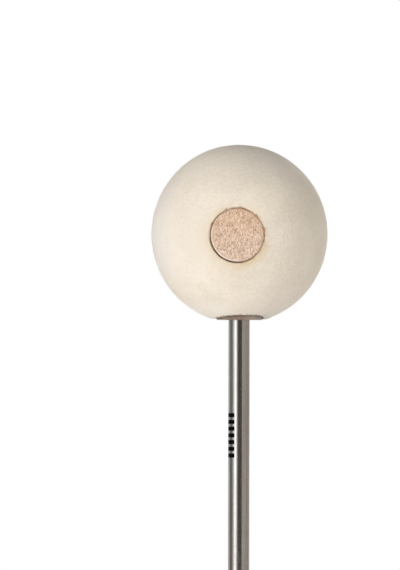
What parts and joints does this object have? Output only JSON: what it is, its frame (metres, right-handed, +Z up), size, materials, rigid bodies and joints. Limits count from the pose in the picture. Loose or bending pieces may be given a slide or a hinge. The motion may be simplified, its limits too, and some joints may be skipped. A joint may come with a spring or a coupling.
{
  "type": "bass drum beater",
  "caption": "Ball-shaped felt bass drum beater on a straight steel shaft, with a round maple core showing in the ball's face and a maple neck plug in its underside.",
  "frame": {"origin": "centre of the flat face at the shaft's lower, free end", "axes": "+Z up the shaft to the head; the maple core's round faces look along -Y and +Y; the felt strikes along +X or -X"},
  "size_m": [0.0654, 0.063, 0.2432],
  "materials": {
    "drawn_steel": "bright drawn steel with a fine lengthwise grain",
    "wool_felt": "pressed natural wool felt, smooth and short-haired",
    "maple_end_grain": "sanded bare maple end grain",
    "maple_neck": "bare maple darkened by glue",
    "insert_brass": "turned",
    "washer_steel": "zinc plated"
  },
  "bodies": {
    "root": {"shaft": "drawn_steel", "felt_ball": "wool_felt", "core_dowel": "maple_end_grain", "neck_plug": "maple_neck", "threaded_insert": "insert_brass", "shoulder_washer": "washer_steel"}
  },
  "joints": []
}
